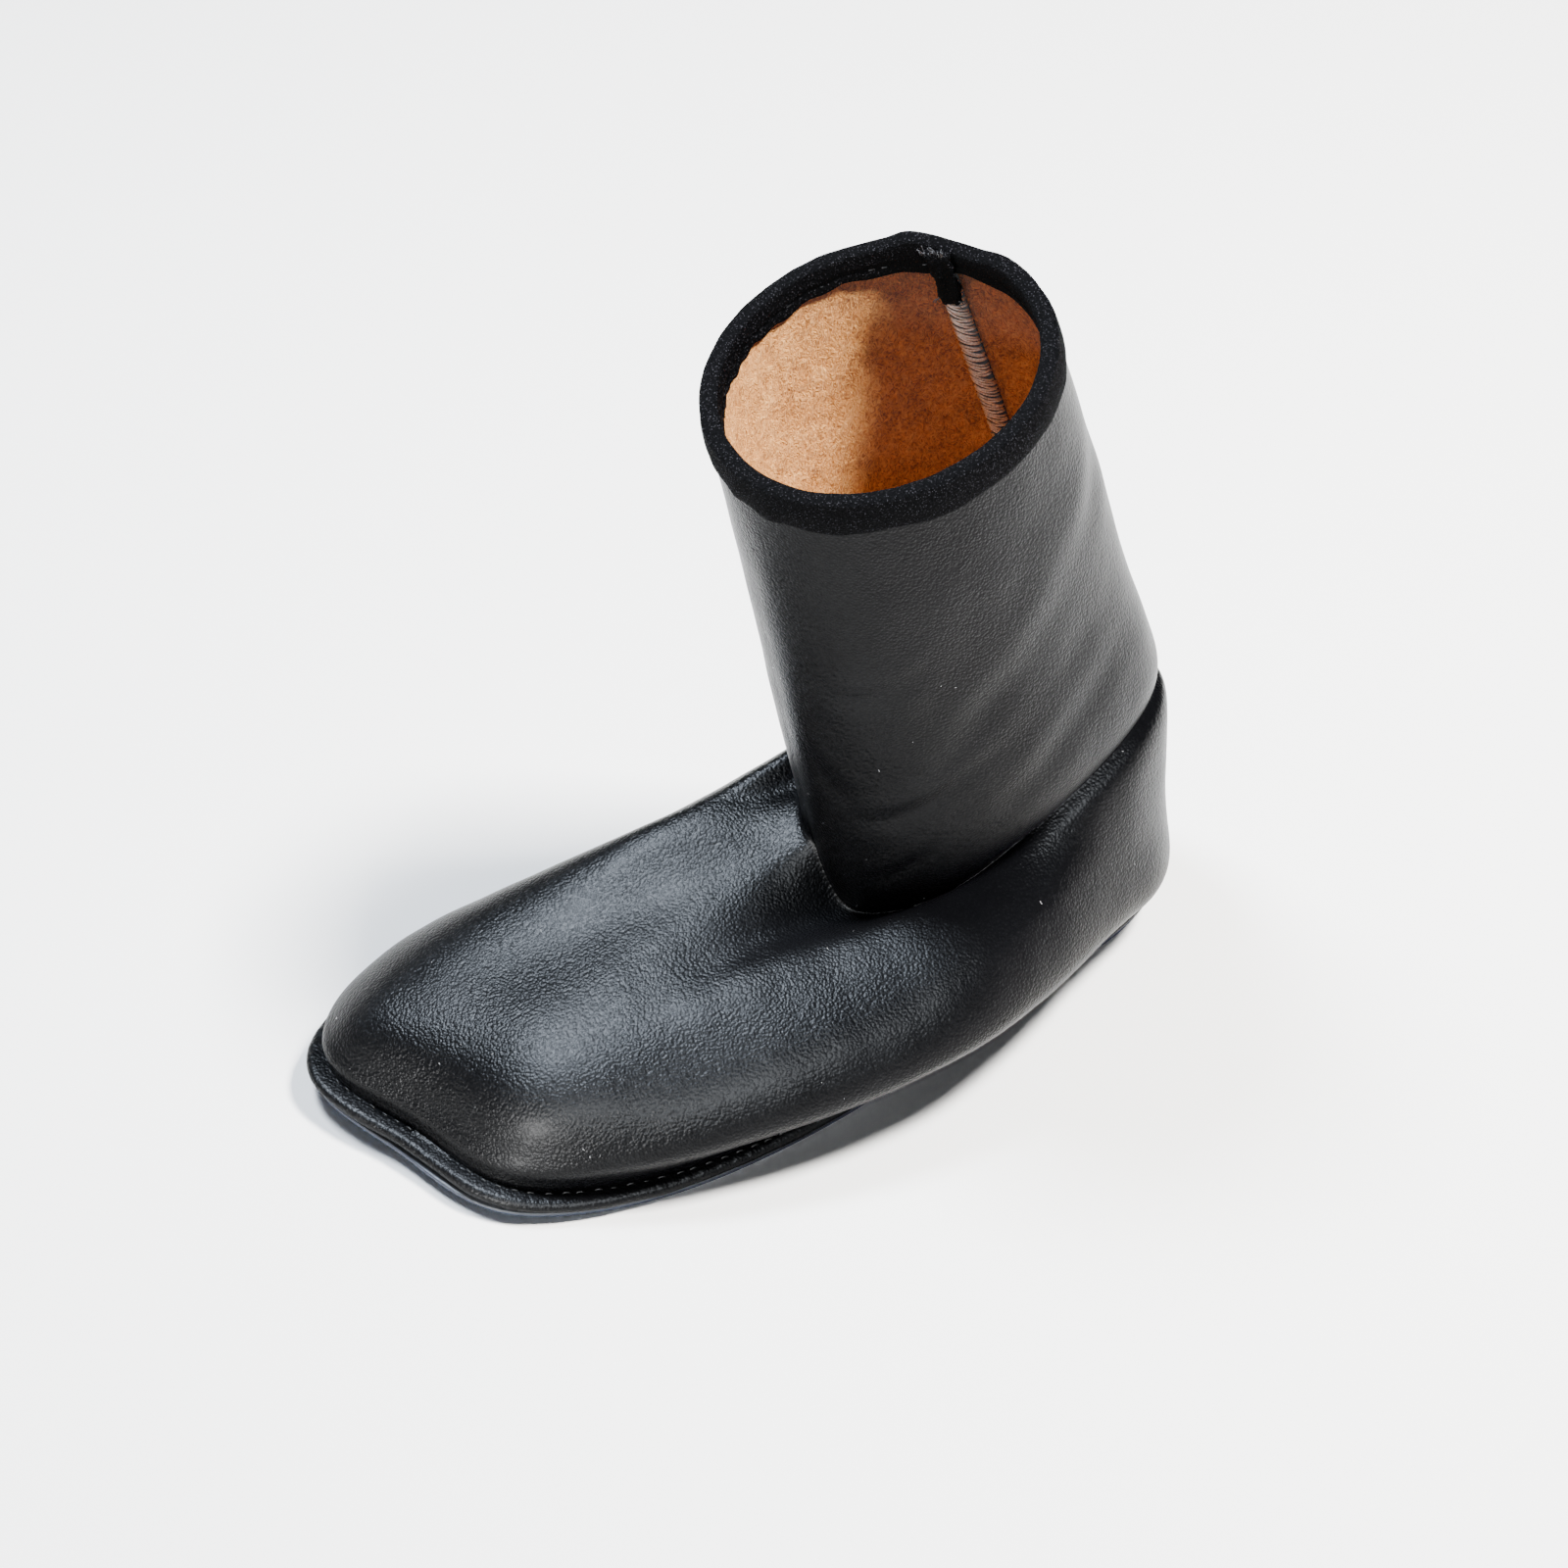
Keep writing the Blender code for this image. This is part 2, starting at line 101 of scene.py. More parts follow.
def readSections(shares):
    table = np.array(sectionRows, dtype=float)
    points = table[:, :2] * (boot["footLength"], boot["ballWidth"])
    steps = np.linalg.norm(np.roll(points, -1, axis=0) - points, axis=1)
    knots = np.concatenate([[0.0], np.cumsum(steps)[:-1]])
    angle = sectionKeys.index("angle")
    table[:, angle] -= 360 * knots / steps.sum()
    shares = np.asarray(shares, dtype=float)
    values = closedSpline(knots, table, steps.sum(), shares * steps.sum())
    values[:, angle] += 360 * np.mod(shares, 1.0)
    section = dict(zip(sectionKeys, values.T))
    section["share"] = shares
    return section


def sectionsRound(columns):
    return readSections(np.arange(columns) / columns)


def footLine(section):
    x = section["across"] * boot["ballWidth"]
    y = boot["heelSetback"] - section["along"] * boot["footLength"]
    return np.stack([x, y], axis=1)


def lineNormals(points):
    tangent = np.roll(points, -1, axis=0) - np.roll(points, 1, axis=0)
    normal = np.stack([-tangent[:, 1], tangent[:, 0]], axis=1)
    return normal / np.linalg.norm(normal, axis=1)[:, None]


def smoothStep(share):
    share = np.clip(share, 0.0, 1.0)
    return share * share * (3 - 2 * share)


def groundHeight(y):
    along = (boot["heelSetback"] - y) / boot["footLength"]
    middle = (boot["archStart"] + boot["archEnd"]) / 2
    half = (boot["archEnd"] - boot["archStart"]) / 2
    arch = boot["archLift"] * smoothStep(1 - np.abs(along - middle) / half)
    spring = np.clip((along - boot["springStart"]) / (1 - boot["springStart"]), 0, None) ** 2
    return arch + boot["toeSpring"] * spring


def shaftRing(section, share):
    halfLong = (boot["ankleLong"] + (boot["collarLong"] - boot["ankleLong"]) * share) / 2
    halfSide = (boot["ankleSide"] + (boot["collarSide"] - boot["ankleSide"]) * share) / 2
    turn = boot["collarTurn"] * share
    angle = np.radians(section["angle"])
    side, long = halfSide * np.sin(angle), halfLong * np.cos(angle)
    offset = np.stack([side * np.cos(turn) - long * np.sin(turn),
                       side * np.sin(turn) + long * np.cos(turn)], axis=-1)
    inset = boot["foldDepth"] * section["fold"] * np.exp(-share / boot["foldRise"])
    offset = offset * (1 - inset / np.linalg.norm(offset, axis=-1))[..., None]
    middle = np.stack([boot["ankleOutward"] - boot["collarInward"] * share + 0 * angle,
                       boot["heelSetback"] - boot["ankleBack"] - boot["collarForward"] * share + 0 * angle],
                      axis=-1)
    return offset + middle, offset


def shaftPoints(section, share):
    plan, _ = shaftRing(section, share)
    _, rim = shaftRing(section, np.ones_like(section["angle"]))
    top = boot["collarHeight"] + rim[:, 1] * math.tan(boot["collarPitch"]) - rim[:, 0] * math.tan(boot["collarRoll"])
    fold = section["foldUp"] * boot["instepHeight"]
    return np.column_stack([plan, fold + (top - fold) * share])


def curveBetween(controls, place):
    padded = np.concatenate([2 * controls[:1] - controls[1:2], controls, 2 * controls[-1:] - controls[-2:-1]])
    i = min(int(place), len(controls) - 2)
    part = place - i
    a, b, c, d = padded[i:i + 4]
    return 0.5 * (2 * b + (c - a) * part + (2 * a - 5 * b + 4 * c - d) * part**2
                  + (3 * b - a - 3 * c + d) * part**3)


def footRow(section, place):
    # place runs from 0 at the hem to 4 at the ankle fold
    line = footLine(section)
    way = shaftPoints(section, 0 * section["angle"])[:, :2] - line
    bulge = section["bulge"] * boot["ballWidth"]
    roll = section["roll"] * boot["ballWidth"]
    ground = groundHeight(line[:, 1])
    none = 0 * bulge
    runs = np.stack([none, none, section["lowRun"], section["highRun"], none + 1])
    bulges = np.stack([none, bulge, bulge * (1 - section["lowRun"]), roll, none])
    tall = boot["instepHeight"]
    heights = np.stack([boot["feather"] + boot["hem"] + ground, section["bulgeUp"] * tall + ground,
                        section["lowUp"] * tall + ground, section["highUp"] * tall, section["foldUp"] * tall])
    run, out = curveBetween(runs, place), curveBetween(bulges, place)
    plan = line + way * run[:, None] + lineNormals(line) * out[:, None]
    return np.column_stack([plan, curveBetween(heights, place)])


# How the skin is laid over the fold, by height number: 0 at the foot line, 1 at the fold, 2 at the rim
laying = {"underHem": -0.02, "spacing": 1.25, "nearFrom": 0.35, "nearFull": 0.65, "nearTo": 1.30, "nearLeave": 0.25,
          "roundPasses": 4}


def skinGrid(section, footCount, shaftCount, soften):
    # rows from the foot line over the fold to the rim, and each row's height number
    line = footLine(section)
    hem = np.column_stack([line, boot["feather"] + groundHeight(line[:, 1])])
    rows, levels = [hem], [laying["underHem"]]
    for k in range(footCount):
        rows.append(footRow(section, 4 * k / footCount))
        levels.append(k / footCount)
    for k in range(shaftCount + 1):
        share = (k / shaftCount) ** laying["spacing"]
        rows.append(shaftPoints(section, share + 0 * section["angle"]))
        levels.append(1 + share)
    rows, levels = np.array(rows), np.array(levels)
    for _ in range(soften):
        rows[2:-2] = (rows[1:-3] + 2 * rows[2:-2] + rows[3:-1]) / 4
    enter = smoothStep((levels - laying["nearFrom"]) / (laying["nearFull"] - laying["nearFrom"]))
    near = (enter * smoothStep((laying["nearTo"] - levels) / laying["nearLeave"]))[:, None, None]
    for _ in range(laying["roundPasses"] * soften):
        rows += near * (np.roll(rows, 1, axis=1) + np.roll(rows, -1, axis=1) - 2 * rows) / 4
    return rows, levels


def gridNormals(points):
    across = np.roll(points, -1, axis=1) - np.roll(points, 1, axis=1)
    up = np.gradient(points, axis=0)
    normal = np.cross(up, across)
    return normal / np.maximum(np.linalg.norm(normal, axis=2), 1e-9)[..., None]


def softNoise(points, scale, seed):
    # a sum of a few sine waves in fixed directions, from -1 to 1
    source = np.random.default_rng(seed)
    total = np.zeros(points.shape[:-1])
    for _ in range(7):
        direction = source.normal(size=3)
        direction *= source.uniform(0.7, 1.4) * 2 * math.pi / scale / np.linalg.norm(direction)
        total += np.sin(points @ direction + source.uniform(0, 2 * math.pi))
    return total / 4


class Wire:
    # a shader socket that takes part in arithmetic
    def __init__(self, finish, socket):
        self.finish = finish
        self.socket = socket

    def combine(self, operation, first, second):
        return self.finish.node("ShaderNodeMath", {"operation": operation}, {0: first, 1: second})

    def __add__(self, other):
        return self.combine("ADD", self, other)

    def __sub__(self, other):
        return self.combine("SUBTRACT", self, other)

    def __rsub__(self, other):
        return self.combine("SUBTRACT", other, self)

    def __mul__(self, other):
        return self.combine("MULTIPLY", self, other)

    __radd__ = __add__
    __rmul__ = __mul__


class Finish:
    # a material under construction
    def __init__(self, name, **constants):
        self.material = bpy.data.materials.new(name)
        self.material.use_nodes = True
        self.tree = self.material.node_tree
        self.shader = self.tree.nodes["Principled BSDF"]
        for key, value in constants.items():
            self.shader.inputs[key.replace("_", " ")].default_value = value

    def node(self, kind, settings, inputs, output=0):
        made = self.tree.nodes.new(kind)
        for key, value in settings.items():
            if key == "stops":
                ramp = made.color_ramp
                while len(ramp.elements) < len(value):
                    ramp.elements.new(0.5)
                for element, (position, tone) in zip(ramp.elements, value):
                    element.position = position
                    element.color = (*tone, 1.0)
            else:
                setattr(made, key, value)
        for key, value in inputs.items():
            if isinstance(value, Wire):
                self.tree.links.new(value.socket, made.inputs[key])
            else:
                made.inputs[key].default_value = value
        return Wire(self, made.outputs[output])

    def place(self):
        return self.node("ShaderNodeTexCoord", {}, {}, "Object")

    def noise(self, scale, detail=4.0, rough=0.55, where=None, warp=0.0):
        inputs = {"Vector": where or self.place(), "Scale": scale, "Detail": detail, "Roughness": rough,
                  "Distortion": warp}
        return self.node("ShaderNodeTexNoise", {}, inputs)

    def cells(self, scale, feature="F1", smooth=None):
        inputs = {"Vector": self.place(), "Scale": scale}
        if smooth is not None:
            inputs["Smoothness"] = smooth
        return self.node("ShaderNodeTexVoronoi", {"feature": feature}, inputs)

    def stretch(self, scales):
        return self.node("ShaderNodeMapping", {}, {"Vector": self.place(), "Scale": scales})

    def ramp(self, value, stops):
        return self.node("ShaderNodeValToRGB", {"stops": stops}, {0: value})

    def range(self, value, low, high, start, end):
        return self.node("ShaderNodeMapRange", {"clamp": True}, {0: value, 1: low, 2: high, 3: start, 4: end})

    def blend(self, factor, first, second):
        settings = {"data_type": "RGBA", "blend_type": "MIX"}
        first = (*first, 1.0) if isinstance(first, tuple) else first
        second = (*second, 1.0) if isinstance(second, tuple) else second
        return self.node("ShaderNodeMix", settings, {0: factor, 6: first, 7: second}, 2)

    def bump(self, height, distance, strength=1.0, under=None):
        inputs = {"Height": height, "Distance": distance, "Strength": strength}
        if under is not None:
            inputs["Normal"] = under
        return self.node("ShaderNodeBump", {}, inputs)

    def wear(self, **sockets):
        for key, value in sockets.items():
            self.tree.links.new(value.socket, self.shader.inputs[key.replace("_", " ")])
        return self.material


def addMesh(name, points, faces, finish):
    data = bpy.data.meshes.new(name)
    data.from_pydata([tuple(point) for point in points], [], [tuple(face) for face in faces])
    mesh = bmesh.new()
    mesh.from_mesh(data)
    bmesh.ops.recalc_face_normals(mesh, faces=mesh.faces)
    mesh.to_mesh(data)
    mesh.free()
    data.shade_smooth()
    data.materials.append(finish)
    made = bpy.data.objects.new(name, data)
    bpy.context.scene.collection.objects.link(made)
    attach(made, "root")
    return made


def gridFaces(rows, columns, closeRows=False, first=0):
    # quads between the rows, each row closed round
    i = np.arange(rows if closeRows else rows - 1)[:, None]
    j = np.arange(columns)[None, :]
    ii, jj = (i + 1) % rows, (j + 1) % columns
    corners = [i * columns + j, i * columns + jj, ii * columns + jj, ii * columns + j]
    return (np.stack(corners, axis=-1).reshape(-1, 4) + first).tolist()


def endCaps(rows, columns, first=0):
    # one face at each end of a closed strip
    start, last = list(range(first, first + columns)), first + (rows - 1) * columns
    return [start[::-1], list(range(last, last + columns))]


def addGrid(name, grid, finish, closeRows=False):
    faces = gridFaces(*grid.shape[:2], closeRows)
    return addMesh(name, grid.reshape(-1, 3), faces, finish)


def thicken(piece, thickness, offset):
    shell = piece.modifiers.new("thickness", "SOLIDIFY")
    shell.thickness = thickness
    shell.offset = offset
    shell.use_quality_normals = True


def tubes(name, paths, radius, sides, finish):
    # each path is an array of points, all of one length; the tubes are joined in one mesh
    points, faces = [], []
    for path in paths:
        tangent = np.gradient(path, axis=0)
        tangent /= np.linalg.norm(tangent, axis=1)[:, None]
        guide = np.cross(path[-1] - path[0], path.mean(axis=0) - path[0]) + 1e-9
        side = np.cross(tangent, guide / np.linalg.norm(guide))
        side /= np.linalg.norm(side, axis=1)[:, None]
        other = np.cross(tangent, side)
        turn = 2 * math.pi * np.arange(sides) / sides
        ring = side[:, None] * np.cos(turn)[None, :, None] + other[:, None] * np.sin(turn)[None, :, None]
        start = len(points)
        points.extend((path[:, None] + ring * radius).reshape(-1, 3))
        faces.extend(gridFaces(len(path), sides, first=start))
        faces.extend(endCaps(len(path), sides, start))
    return addMesh(name, points, faces, finish)


def darker(tone, share):
    return tuple(share * part for part in tone)


# Leather: black, with a fine pebble grain and a soft shine
leather = {"tone": (0.0018, 0.0019, 0.0024), "worn": (0.0034, 0.0036, 0.0044), "grain": 1080.0, "shine": 0.05,
           "coat": (0.005, 0.025), "coatRough": 0.34, "pebbles": 0.45, "wrinkles": 0.40, "fine": 0.15,
           "skinRough": (0.31, 0.38), "skinDeep": 0.00072, "rollRough": (0.34, 0.41), "rollDeep": 0.00058}


def leatherFinish(name, rough, deep):
    finish = Finish(name, Specular_IOR_Level=leather["shine"], Coat_Roughness=leather["coatRough"], IOR=1.5)
    grain, tone = leather["grain"], leather["tone"]
    pebbles = finish.cells(grain, "SMOOTH_F1", 0.5)
    wrinkles = finish.noise(grain * 0.55, 3.0, 0.6, finish.stretch((1.0, 1.0, 0.5)), 0.8)
    fine = finish.noise(grain * 2.2, 3.0, 0.6)
    broad = finish.noise(28.0, 3.0, 0.5)
    height = pebbles * leather["pebbles"] + wrinkles * leather["wrinkles"] + fine * leather["fine"]
    colour = finish.blend(finish.range(broad, 0.35, 0.75, 0.0, 1.0), tone, leather["worn"])
    colour = finish.blend(finish.range(pebbles, 0.05, 0.5, 0.0, 0.5), colour, darker(tone, 0.5))
    roughness = finish.range(broad * 0.6 + fine * 0.4, 0.3, 0.7, *rough)
    shallow = finish.bump(finish.noise(90.0, 2.0), 0.0006, 0.35)
    normal = finish.bump(1 - height, deep, 0.7, shallow)
    coat = finish.range(broad, 0.3, 0.7, *leather["coat"])
    return finish.wear(Base_Color=colour, Roughness=roughness, Coat_Weight=coat, Normal=normal)


skinLeather = leatherFinish("black leather", leather["skinRough"], leather["skinDeep"])
rollLeather = leatherFinish("rolled leather", leather["rollRough"], leather["rollDeep"])

# Skin: the creases are listed one by one. at is the share round the foot line and level the height number; tilt
# slopes a crease, droop bends it, ridge is the share of its depth that stands up above it. Hollows bend the lining
# too
creaseKeys = ("at", "reach", "level", "tilt", "droop", "wide", "deep", "ridge")
skin = {
    "columns": 270, "footRows": 82, "shaftRows": 72, "soften": 3, "thick": 0.0012, "lumps": 0.00035,
    "creases": (
        (0.235, 0.085, 1.56, -0.03, 0.05, 0.0035, 0.0007, 0.5),
        (0.215, 0.110, 1.27, -0.04, 0.04, 0.0030, 0.0009, 0.5),
        (0.255, 0.070, 1.12, -0.04, 0.03, 0.0028, 0.0008, 0.5),
        (0.140, 0.090, 1.42, -0.14, 0.00, 0.0080, 0.0007, 0.6),
        (0.110, 0.080, 1.20, -0.12, 0.00, 0.0070, 0.0008, 0.6),
        (0.060, 0.070, 1.62, -0.16, 0.00, 0.0090, 0.0006, 0.6),
        (0.330, 0.080, 1.34, 0.06, 0.02, 0.0060, 0.0006, 0.5),
        (0.700, 0.120, 1.22, 0.00, 0.05, 0.0032, 0.0008, 0.5),
        (0.900, 0.080, 1.35, 0.00, 0.03, 0.0035, 0.0006, 0.5),
    ),
    "hollows": ((0.060, 0.200, 1.36, 0.00, 0.00, 0.0340, 0.0022, 0.0),),
    "ridges": (((0.002, -0.084), (0.012, -0.176), 0.027, 0.0034),),  # start, end, width, height
    "ridgeFrom": 0.25, "ridgeTo": 0.97, "ridgeFade": 0.25,
    "broadLumps": 0.055, "smallLumps": 0.022, "smallShare": 0.4, "hemFade": 0.15,
}


def creaseDepth(shares, levels, values):
    crease = dict(zip(creaseKeys, values))
    away = (shares[None, :] - crease["at"] + 0.5) % 1.0 - 0.5
    along = away / crease["reach"]
    middle = crease["level"] + crease["droop"] * along**2 + crease["tilt"] * along
    metres = (levels[:, None] - middle) * (boot["collarHeight"] - boot["instepHeight"])
    trough = np.exp(-((metres / crease["wide"]) ** 2))
    ridge = crease["ridge"] * np.exp(-(((metres - 1.8 * crease["wide"]) / crease["wide"]) ** 2))
    return crease["deep"] * (ridge - trough) * smoothStep(1 - np.abs(along))


def ridgeHeight(grid, ridge):
    # a soft ridge on the foot, over a straight line seen from above
    start, end, wide, high = ridge
    start, way = np.array(start), np.array(end) - np.array(start)
    along = (grid[..., :2] - start) @ way / (way @ way)
    nearest = start + np.clip(along, 0, 1)[..., None] * way
    away = np.linalg.norm(grid[..., :2] - nearest, axis=-1)
    return high * np.exp(-((away / wide) ** 2))


def skinPush(section, grid, levels):
    push = skin["lumps"] * softNoise(grid, skin["broadLumps"], 3)
    push = push + skin["smallShare"] * skin["lumps"] * softNoise(grid, skin["smallLumps"], 4)
    push *= smoothStep((levels - laying["underHem"]) / skin["hemFade"])[:, None]
    for crease in skin["creases"] + skin["hollows"]:
        push += creaseDepth(section["share"], levels, crease)
    onFoot = smoothStep((skin["ridgeTo"] - levels) / skin["ridgeFade"])
    onFoot = onFoot * smoothStep((levels - skin["ridgeFrom"]) / skin["ridgeFade"])
    for ridge in skin["ridges"]:
        push += ridgeHeight(grid, ridge) * onFoot[:, None]
    return push


def buildSkin():
    section = sectionsRound(skin["columns"])
    grid, levels = skinGrid(section, skin["footRows"], skin["shaftRows"], skin["soften"])
    normal = gridNormals(grid)
    push = skinPush(section, grid, levels)
    piece = addGrid("leatherSkin", grid + normal * push[..., None], skinLeather)
    thicken(piece, skin["thick"], -1)
    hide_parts("upper")


buildSkin()
print("skin built")

# Fleece: tan pile, brushed every way
fleece = {"tone": (0.50, 0.222, 0.066), "shade": (0.23, 0.088, 0.022), "light": (0.70, 0.370, 0.135),
          "patches": 110.0, "strands": 480.0, "tufts": 1100.0, "patchDeep": 0.0018, "strandDeep": 0.0016,
          "columns": 220, "footRows": 50, "shaftRows": 110, "soften": 2, "pile": 0.0005, "pileScale": 0.006,
          "backing": 0.0004, "gap": 0.0001}


def fleeceFinish(name):
    finish = Finish(name, Roughness=0.95, Specular_IOR_Level=0.10, Sheen_Weight=0.04, Sheen_Roughness=0.5)
    patches = finish.noise(fleece["patches"], 4.0, 0.6, warp=0.8)
    strands = finish.noise(fleece["strands"], 3.0, 0.6, finish.stretch((1.0, 1.0, 0.75)), 3.0)
    tufts = finish.noise(fleece["tufts"], 2.0, 0.6)
    colour = finish.ramp(patches * 0.3 + strands * 0.7,
                         ((0.36, fleece["shade"]), (0.5, fleece["tone"]), (0.66, fleece["light"])))
    low = finish.bump(patches, fleece["patchDeep"], 0.7)
    normal = finish.bump(strands * 0.75 + tufts * 0.25, fleece["strandDeep"], 0.9, low)
    return finish.wear(Base_Color=colour, Normal=normal)


tanFleece = fleeceFinish("tan fleece")


def buildLining():
    section = sectionsRound(fleece["columns"])
    grid, levels = skinGrid(section, fleece["footRows"], fleece["shaftRows"], fleece["soften"])
    normal = gridNormals(grid)
    pile = 0.4 * softNoise(grid, fleece["pileScale"], 11) - 0.3
    inner = -(boot["wall"] - fleece["gap"]) + fleece["pile"] * pile
    for hollow in skin["hollows"]:
        inner += creaseDepth(section["share"], levels, hollow)
    grid = grid + normal * inner[..., None]
    piece = addGrid("fleeceLining", grid[1:], tanFleece)
    thicken(piece, fleece["backing"], 1)  # thin, so that it stays under the skin at the fold
    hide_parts("upper")


buildLining()


def ladder(points, ring, parts, height):
    # rungs between the two sides of a ring; returns faces and adds the inner points
    half = len(ring) // 2
    rungs = [[ring[0]]]
    for j in range(1, half):
        start, end = points[ring[j]], points[ring[-j]]
        rung = [ring[j]]
        for k in range(1, parts):
            place = start + (end - start) * k / parts
            place[2] = groundHeight(place[1]) + height
            rung.append(len(points))
            points.append(place)
        rungs.append(rung + [ring[-j]])
    rungs.append([ring[half]])
    faces = []
    for low, high in zip(rungs, rungs[1:]):
        for k in range(parts):
            corners = [low[min(k, len(low) - 1)], low[min(k + 1, len(low) - 1)],
                       high[min(k + 1, len(high) - 1)], high[min(k, len(high) - 1)]]
            faces.append(list(dict.fromkeys(corners)))
    return faces


def addPlate(name, section, offsets, heights, finish, shake=0.0, puckers=None, parts=16):
    line = footLine(section)
    normals = lineNormals(line)
    rings = []
    for offset, height in zip(offsets, heights):
        plan = line + normals * np.reshape(offset, (-1, 1))
        rings.append(np.column_stack([plan, groundHeight(plan[:, 1]) + height]))
    grid = np.array(rings)
    if puckers is not None:
        grid[:, :, 2] += puckers
    if shake:
        grid += gridNormals(grid) * (shake * softNoise(grid, 0.018, 21))[..., None]
    points = list(grid.reshape(-1, 3))
    count = grid.shape[1]
    faces = gridFaces(*grid.shape[:2])
    top = ladder(points, list(range(count)), parts, heights[0])
    last = (grid.shape[0] - 1) * count
    base = ladder(points, list(range(last, last + count)), parts, heights[-1])
    faces = faces + top + base
    return addMesh(name, points, faces, finish)


# Sole: soft, its edge rolled, with small puckers where it is sewn to the skin
sole = {"columns": 560, "rollSteps": 14, "puckerPitch": 0.0048, "puckerDeep": 0.00040, "shake": 0.00022,
        "under": 0.004, "rollStart": 1.6}


def buildSole():
    section = sectionsRound(sole["columns"])
    edge = section["lip"] * boot["lipWidth"]
    middle = boot["outsoleThick"] + boot["clearance"] + boot["soleThick"] / 2
    angles = np.radians(np.linspace(90, -90, sole["rollSteps"]))
    inner = [-sole["under"] - edge * 0, edge - boot["lipRoll"] * sole["rollStart"]]
    offsets = inner + [edge - boot["lipRoll"] * (1 - math.cos(angle)) for angle in angles]
    top = middle + boot["soleThick"] / 2
    heights = [top, top] + [middle + boot["soleThick"] / 2 * math.sin(angle) for angle in angles]
    steps = np.linalg.norm(np.diff(footLine(section), axis=0), axis=1)
    length = np.concatenate([[0.0], np.cumsum(steps)])
    turns = np.round(length[-1] / sole["puckerPitch"])
    around = 2 * math.pi * length / (length[-1] + steps[-1])
    drift = 1.6 * np.sin(7 * around + 1) + 1.1 * np.sin(17 * around) + 0.8 * np.sin(31 * around + 2)
    wave = np.sin(turns * around + drift) * (0.6 + 0.4 * np.sin(13 * around + 0.5 * drift))
    weights = np.array([0.0, 0.6] + [max(0.0, math.sin(angle)) ** 0.7 for angle in angles])
    puckers = sole["puckerDeep"] * weights[:, None] * (wave - 1)[None, :] * 0.5
    piece = addPlate("rolledSole", section, offsets, heights, rollLeather,
                     sole["shake"], puckers)
    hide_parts("sole")


buildSole()
print("sole built")


# Outsole: a thin dark blue layer, nearly matt, a little wider at one toe corner
outsole = {"columns": 400, "inset": 0.0010, "corner": 0.0024, "cornerAt": 0.46, "cornerReach": 0.07,
           "bevel": 0.0004, "bevelHigh": 0.0003, "dark": (0.008, 0.015, 0.032), "pale": (0.018, 0.030, 0.060)}


def outsoleFinish():
    finish = Finish("dark blue rubber", Specular_IOR_Level=0.25)
    speck = finish.noise(700.0, 3.0)
    broad = finish.noise(60.0, 3.0)
    colour = finish.blend(broad, outsole["dark"], outsole["pale"])
    cross = finish.cells(300.0)
    normal = finish.bump(cross * 0.6 + speck * 0.4, 0.0003, 0.5)
    rough = finish.range(speck, 0.3, 0.7, 0.48, 0.64)
    return finish.wear(Base_Color=colour, Roughness=rough, Normal=normal)


def buildOutsole():
    section = sectionsRound(outsole["columns"])
    away = np.abs(section["share"] - outsole["cornerAt"]) / outsole["cornerReach"]
    edge = section["lip"] * boot["lipWidth"] - boot["lipRoll"] + outsole["inset"]
    edge = edge + outsole["corner"] * smoothStep(1 - away)
    thick, bevel = boot["outsoleThick"], outsole["bevel"]
    offsets = [edge - bevel, edge, edge, edge - bevel]
    heights = [thick, thick - outsole["bevelHigh"], outsole["bevelHigh"], 0.0]
    piece = addPlate("outsoleLayer", section, offsets, heights, outsoleFinish())
    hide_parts("outsole")


buildOutsole()


# Insole: fleece with a soft edge
insole = {"columns": 300, "rungs": 40, "shake": 0.0002, "softEdge": ((0.0010, 0.0), (0.0003, 0.0003), (0.0, 0.0009))}


def buildInsole():
    section = sectionsRound(insole["columns"])
    edge = -(boot["wall"] + boot["clearance"] + boot["insoleGap"]) + 0 * section["lip"]
    top = boot["feather"] + boot["insoleThick"]
    offsets = [edge - inward for inward, _ in insole["softEdge"]] + [edge]
    heights = [top - down for _, down in insole["softEdge"]] + [boot["feather"]]
    piece = addPlate("fleeceInsole", section, offsets, heights, tanFleece, insole["shake"],
                     parts=insole["rungs"])
    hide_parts("insole")


buildInsole()
print("insole built")


def shaftFrame(section, share):
    step = 0.001
    points = shaftPoints(section, share)
    up = shaftPoints(section, share + step) - shaftPoints(section, share - step)
    after = dict(section, angle=section["angle"] + 0.05)
    before = dict(section, angle=section["angle"] - 0.05)
    normal = np.cross(up, shaftPoints(after, share) - shaftPoints(before, share))
    outward = np.sign((normal[:, :2] * shaftRing(section, share)[1]).sum(axis=1))
    normal *= (outward / np.linalg.norm(normal, axis=1))[:, None]
    length = np.linalg.norm(up, axis=1)
    return points, normal, up / length[:, None], length / (2 * step)


def collarPoints(section, depth, out):
    # depth and out may differ from column to column; a depth below 0 is above the rim
    ones = np.ones_like(section["angle"])
    rim, normal, up, length = shaftFrame(section, ones)
    depth, out = depth * ones, out * ones
    lower, lowerNormal, _, _ = shaftFrame(section, 1 - np.maximum(depth, 0) / length)
    return lower + lowerNormal * out[:, None] + up * np.maximum(-depth, 0)[:, None]


# Binding: a knitted tape folded over the rim, with a row of stitches inside
binding = {"columns": 420, "thick": 0.0011, "outside": 0.0105, "inside": 0.0088, "wave": 0.0005,
           "uneven": 0.00018, "unevenScale": 0.012,
           "flecks": (0.030, 0.030, 0.036), "body": (0.0016, 0.0016, 0.0020), "deep": (0.0004, 0.0004, 0.0005),
           "stitchPitch": 0.0042, "stitchLong": 0.0030, "stitchDepth": 0.0058, "stitchThread": 0.00032,
           "stitchOut": 0.0004, "stitchSink": (0.0006, 0.0001, 0.0, 0.0001, 0.0006)}


